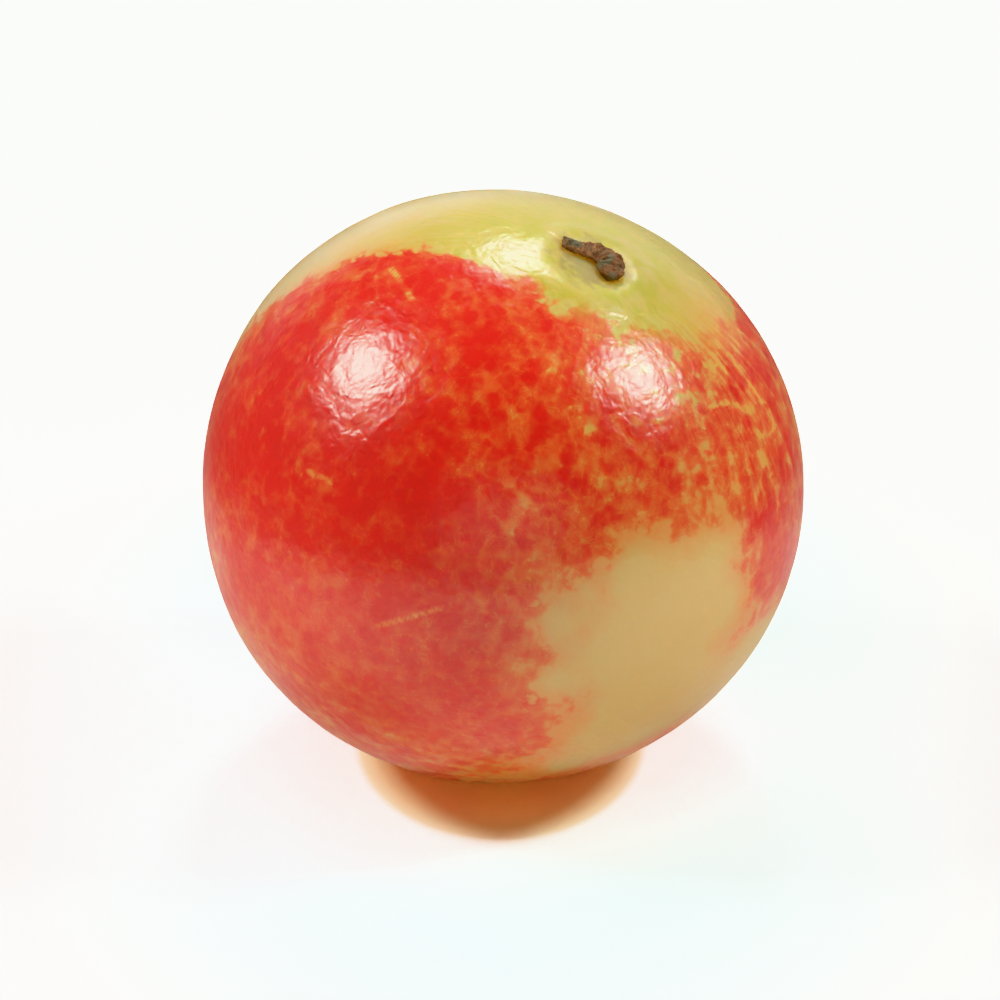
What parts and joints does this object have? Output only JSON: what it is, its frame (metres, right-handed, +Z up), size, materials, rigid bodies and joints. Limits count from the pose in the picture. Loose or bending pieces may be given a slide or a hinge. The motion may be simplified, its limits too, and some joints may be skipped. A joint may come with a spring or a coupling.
{
  "type": "camu camu",
  "caption": "Round glossy camu camu berry with a torn stalk remnant in a shallow socket, a small blossom scar and a flat spot to rest on.",
  "frame": {"origin": "point of the surface under the middle of the berry, inside the flat spot it rests on", "axes": "+Z up, -Y towards the viewer, +X to the viewer's right; the stalk end leans 21 degrees from +Z towards +X and -Y"},
  "size_m": [0.025, 0.025, 0.0245],
  "materials": {
    "berry_skin": "glossy waxy fruit skin, red blush over cream and yellow-green",
    "dry_stalk": "dry torn stalk, dark brown and matt"
  },
  "bodies": {
    "root": {"berry": "berry_skin", "stalk_stub": "dry_stalk"}
  },
  "joints": []
}
